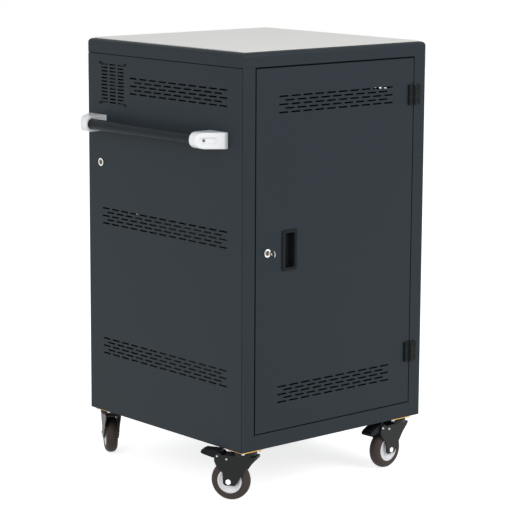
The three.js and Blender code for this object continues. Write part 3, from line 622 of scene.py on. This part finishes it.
def grow(name, tree, points, out_ways, values):
    """Runs a tree on points, each with the way that it faces, and keeps the result as a plain mesh."""
    mesh = bpy.data.meshes.new(name)
    mesh.from_pydata([tuple(point) for point in points], [], [])
    ways = mesh.attributes.new("out", "FLOAT_VECTOR", "POINT")
    ways.data.foreach_set("vector", [part for way in out_ways for part in way])
    piece = bpy.data.objects.new(name, mesh)
    bpy.context.scene.collection.objects.link(piece)
    modifier = piece.modifiers.new(name, "NODES")
    modifier.node_group = tree
    for item in tree.interface.items_tree:
        if item.in_out == "INPUT" and item.name in values:
            modifier[item.identifier] = values[item.name]
    made = bpy.data.meshes.new_from_object(piece.evaluated_get(bpy.context.evaluated_depsgraph_get()))
    piece.modifiers.remove(modifier)
    piece.data = made
    return piece


def screws(name, points, out_ways, radius, height, finish, body, sides=16):
    values = {"Head Radius": radius, "Head Height": height, "Sides": sides, "Finish": finish}
    piece = grow(name, screw_heads, points, out_ways, values)
    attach(piece, body)
    return piece


left_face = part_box("left_side_panel")[0].x
fan_low, fan_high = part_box("fan_frame")
fan_middle = (fan_low + fan_high) / 2
fan_screw_half = 0.0525
fan_screw_points = []
for side_y in (-1, 1):
    for side_z in (-1, 1):
        screw_y = fan_middle.y + side_y * fan_screw_half
        fan_screw_points.append((left_face, screw_y, fan_middle.z + side_z * fan_screw_half))
dark_screw = make_finish("dark_screw", shade(16, 18, 19), 0.5, 0, 900, 0.00001, 0.2, 0.1)
screws("fan_screws", fan_screw_points, [(-1, 0, 0)] * 4, 0.0040, 0.0022, dark_screw, "cabinet")

leaf_face = door_face - 0.0053
leaf_inset = 0.0065
leaf_screw_half = 0.016
for hinge_level in ["upper", "lower"]:
    for hinge_part, hinge_body in (("frame", "cabinet"), ("door", "front_door")):
        leaf_low, leaf_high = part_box(f"front_hinge_{hinge_level}_{hinge_part}_leaf")
        screw_x = leaf_high.x - leaf_inset if hinge_part == "frame" else leaf_low.x + leaf_inset
        middle_z = (leaf_low.z + leaf_high.z) / 2
        hinge_points = [(screw_x, leaf_face, middle_z + side_z * leaf_screw_half) for side_z in (-1, 1)]
        screws(f"hinge_{hinge_level}_{hinge_part}_screws", hinge_points, [(0, -1, 0)] * 2, 0.0034, 0.0014,
               black_moulding, hinge_body)

dark_steel = make_finish("dark_steel", shade(120, 118, 112), 0.4, 1, 900, 0.00001, 0.3)
bracket_points, bracket_ways = zip(near_screw, far_screw)
screws("bracket_screws", bracket_points, bracket_ways, 0.0042, 0.0018, dark_steel, "cabinet")

# Power strips: two black socket strips on the back of the partition.
# Each has a row of round outlets, which face the back panel.


def round_bar(tree, sides, radius, depth):
    bar = tree.nodes.new("GeometryNodeMeshCylinder")
    bar.inputs["Vertices"].default_value = sides
    tree.links.new(radius, bar.inputs["Radius"])
    tree.links.new(depth, bar.inputs["Depth"])
    return bar.outputs["Mesh"]


def outlet_tree():
    sizes = {size: "NodeSocketFloat" for size in ("Rim Radius", "Well Radius", "Depth")}
    tree, given = point_tree("outlet_row", sizes)
    depth = given.outputs["Depth"]
    rim = round_bar(tree, 28, given.outputs["Rim Radius"], depth)
    well = round_bar(tree, 28, given.outputs["Well Radius"], depth)
    set_on_points(tree, given, carved(tree, rim, [lifted(tree, well, share_of(tree, depth, 0.5))]))
    return tree


outlet_row = outlet_tree()
outlet_finish = make_finish("outlet_moulding", shade(52, 54, 57), 0.4, 0, 1400, 0.00002, 0.1)
outlet_count = 12
outlet_first = 0.048
outlet_pitch = 0.064
outlet_values = {"Rim Radius": 0.0195, "Well Radius": 0.0175, "Depth": 0.005, "Finish": outlet_finish}
for strip_side in ["left", "right"]:
    strip_low, strip_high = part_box(f"power_strip_{strip_side}")
    strip_x = (strip_low.x + strip_high.x) / 2
    outlet_points = []
    for outlet in range(outlet_count):
        outlet_points.append((strip_x, strip_high.y, strip_low.z + outlet_first + outlet * outlet_pitch))
    outlet_ways = [(0, 1, 0)] * outlet_count
    outlets = grow(f"outlets_{strip_side}", outlet_row, outlet_points, outlet_ways, outlet_values)
    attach(outlets, "cabinet")

# Casters: a yellow-passivated plate with a ball race, a pressed black fork, a white hub and a tyre of
# brown-black rubber. The plate is bolted up under the base pan, and the two front casters have a ribbed
# brake pedal between the fork legs.
bright_zinc = make_finish("bright_zinc", shade(236, 237, 238), 0.3, 1, 800, 0.00001, 0.1)
gold_passivate = make_finish("gold_passivate", shade(226, 176, 92), 0.35, 1, 600, 0.00001, 0.35)
fork_black = make_finish("fork_black", shade(20, 22, 22), 0.42, 0, 900, 0.00003, 0.2, 0.22)
hub_white = make_finish("hub_white", shade(230, 230, 232), 0.35, 0, 900, 0.00002, 0.04)
tyre_brown = make_finish("tyre_brown", shade(56, 47, 43), 0.62, 0, 1200, 0.00005, 0.25, 0.3)


def turned_ring(name, profile, centre, axle, finish, steps=64):
    """A ring about the axle, from its outline of radius and place along the axle."""
    forward = axle.cross(Vector((0, 0, 1))).normalized()
    up = Vector((0, 0, 1))
    loops = []
    for step in range(steps):
        angle = 2 * math.pi * step / steps
        spoke = forward * math.cos(angle) + up * math.sin(angle)
        loops.append([centre + spoke * radius + axle * along for radius, along in profile])
    loops.append(loops[0])
    return loft(name, loops, finish, capped=False)


tyre_half = [(0.0328, 0), (0.0328, 0.0148), (0.0345, 0.0157), (0.0385, 0.0159), (0.0412, 0.0157)]
tyre_half += [(0.0452, 0.0137), (0.0476, 0.0113), (0.0474, 0.0106), (0.0480, 0.0098), (0.0490, 0.0093)]
tyre_half += [(0.0500, 0.0071), (0.0509, 0.0034), (0.0510, 0.0008)]
tyre_profile = tyre_half + [(radius, -along) for radius, along in reversed(tyre_half[1:])]
hub_half = [(0.0053, 0.0176), (0.0095, 0.0176), (0.0106, 0.0160), (0.0125, 0.0120), (0.0232, 0.0116)]
hub_half += [(0.0264, 0.0131), (0.0275, 0.0142), (0.0314, 0.0144), (0.0324, 0.0138), (0.0325, 0.0)]
hub_profile = hub_half + [(radius, -along) for radius, along in reversed(hub_half[:-1])]

pedal_outline = [(61, 110), (66, 106.5), (84, 109), (111, 117)]
pedal_outline += [(114, 121), (112, 126), (104, 129.5), (61, 128.5)]
pedal_pivot = (68, 115)
pedal_travel = 26
pedal_slices = ((-17.0, 1.2), (-16.0, 0.3), (-14.3, 0), (14.3, 0), (16.0, 0.3), (17.0, 1.2))
rib_count = 7
rib_first = 12
rib_pitch = 4
leg_face = 21
leg_rivet = (43, 109)
plate_thickness = 0.003
bolt_half_x = 0.0285
bolt_half_y = 0.0245
ring_steps = 48


def rib_tree():
    tree, given = point_tree("rib_row", {"Rib Radius": "NodeSocketFloat", "Rib Length": "NodeSocketFloat"})
    rib = round_bar(tree, 10, given.outputs["Rib Radius"], given.outputs["Rib Length"])
    set_on_points(tree, given, rib, smooth=True)
    return tree


rib_row = rib_tree()


def caster(name, pressed):
    swivel = Vector(joints[f"caster_{name}_swivel_turn"]["pos_m"])
    wheel_joint = joints[f"caster_{name}_wheel_roll"]
    hub_centre = Vector(wheel_joint["pos_m"])
    axle = Vector(wheel_joint["axis"])
    trail = Vector((hub_centre.x - swivel.x, hub_centre.y - swivel.y, 0)).normalized()
    ground = Vector((swivel.x, swivel.y, 0))

    def at(along, across, up):
        return ground + trail * along / 1000 + axle * across / 1000 + Vector((0, 0, up / 1000))

    dress(f"caster_{name}_plate", gold_passivate)
    dress(f"caster_{name}_fork", fork_black)
    dress(f"caster_{name}_axle", bright_zinc)
    tyre = turned_ring(f"caster_{name}_tyre_tread", tyre_profile, hub_centre, axle, tyre_brown)
    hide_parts(f"caster_{name}_tyre")
    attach(tyre, f"caster_{name}_wheel")
    hub = turned_ring(f"caster_{name}_hub_disc", hub_profile, hub_centre, axle, hub_white)
    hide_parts(f"caster_{name}_hub")
    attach(hub, f"caster_{name}_wheel")
    rivet_spots = [leg_rivet]
    if pressed is not None:
        rivet_spots.append(pedal_pivot)
    rivet_points = [at(x, side * leg_face, z) for side in (-1, 1) for x, z in rivet_spots]
    rivet_ways = [tuple(axle * side) for side in (-1, 1) for spot in rivet_spots]
    screws(f"caster_{name}_rivets", rivet_points, rivet_ways, 0.0032, 0.0016, dull_zinc,
           f"caster_{name}_swivel", 12)
    plate_low, plate_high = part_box(f"caster_{name}_plate")
    plate_under = plate_high.z - plate_thickness
    # A black ring round the ball race, under the plate, is painted shade where the plate meets the fork.
    ring_profile = [(0.0263, plate_under), (0.0300, plate_under), (0.0308, plate_under - 0.0035)]
    ring_profile += [(0.0308, plate_low.z + 0.0035), (0.0296, plate_low.z + 0.0008)]
    ring_profile += [(0.0263, plate_low.z + 0.0008)]
    ring_loops = []
    for step in range(ring_steps):
        angle = 2 * math.pi * step / ring_steps
        spoke = Vector((math.cos(angle), math.sin(angle), 0))
        ring_loops.append([ground + spoke * radius + Vector((0, 0, z)) for radius, z in ring_profile])
    ring_loops.append(ring_loops[0])
    ring = loft(f"caster_{name}_race_shade_ring", ring_loops, fork_black, capped=False)
    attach(ring, "cabinet")
    bolt_points = []
    for side_x in (-1, 1):
        for side_y in (-1, 1):
            bolt_x = swivel.x + side_x * bolt_half_x
            bolt_points.append((bolt_x, swivel.y + side_y * bolt_half_y, plate_under))
    screws(f"caster_{name}_bolts", bolt_points, [(0, 0, -1)] * 4, 0.0058, 0.0044, dull_zinc,
           "cabinet", 6)
    if pressed is None:
        return
    tilt = math.radians(pedal_travel * pressed)

    def tilted(dx, dz):
        turned_x = pedal_pivot[0] + dx * math.cos(tilt) + dz * math.sin(tilt)
        return turned_x, pedal_pivot[1] - dx * math.sin(tilt) + dz * math.cos(tilt)

    turned_outline = [tilted(x - pedal_pivot[0], z - pedal_pivot[1]) for x, z in pedal_outline]
    middle_x = sum(x for x, _ in turned_outline) / len(turned_outline)
    middle_z = sum(z for _, z in turned_outline) / len(turned_outline)
    loops = []
    for across, shrink in pedal_slices:
        loop = []
        for x, z in turned_outline:
            slice_x = middle_x + (x - middle_x) * (1 - shrink / 26)
            slice_z = middle_z + (z - middle_z) * (1 - shrink / 10)
            loop.append(at(slice_x, across, slice_z))
        loops.append(loop)
    pedal = loft(f"caster_{name}_pedal_moulding", loops, black_moulding)
    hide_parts(f"caster_{name}_brake_pedal")
    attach(pedal, f"caster_{name}_brake")
    rib_points = []
    for rib in range(rib_count):
        dx = rib_first + rib * rib_pitch
        rib_x, rib_z = tilted(dx, 13.1 + 0.0233 * dx)
        rib_points.append(at(rib_x, 0, rib_z))
    rib_values = {"Rib Radius": 0.0011, "Rib Length": 0.029, "Finish": black_moulding}
    ribs = grow(f"caster_{name}_pedal_ribs", rib_row, rib_points, [tuple(axle)] * rib_count, rib_values)
    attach(ribs, f"caster_{name}_brake")


caster("front_left", 0)
caster("front_right", 1)
caster("rear_left", None)
caster("rear_right", None)
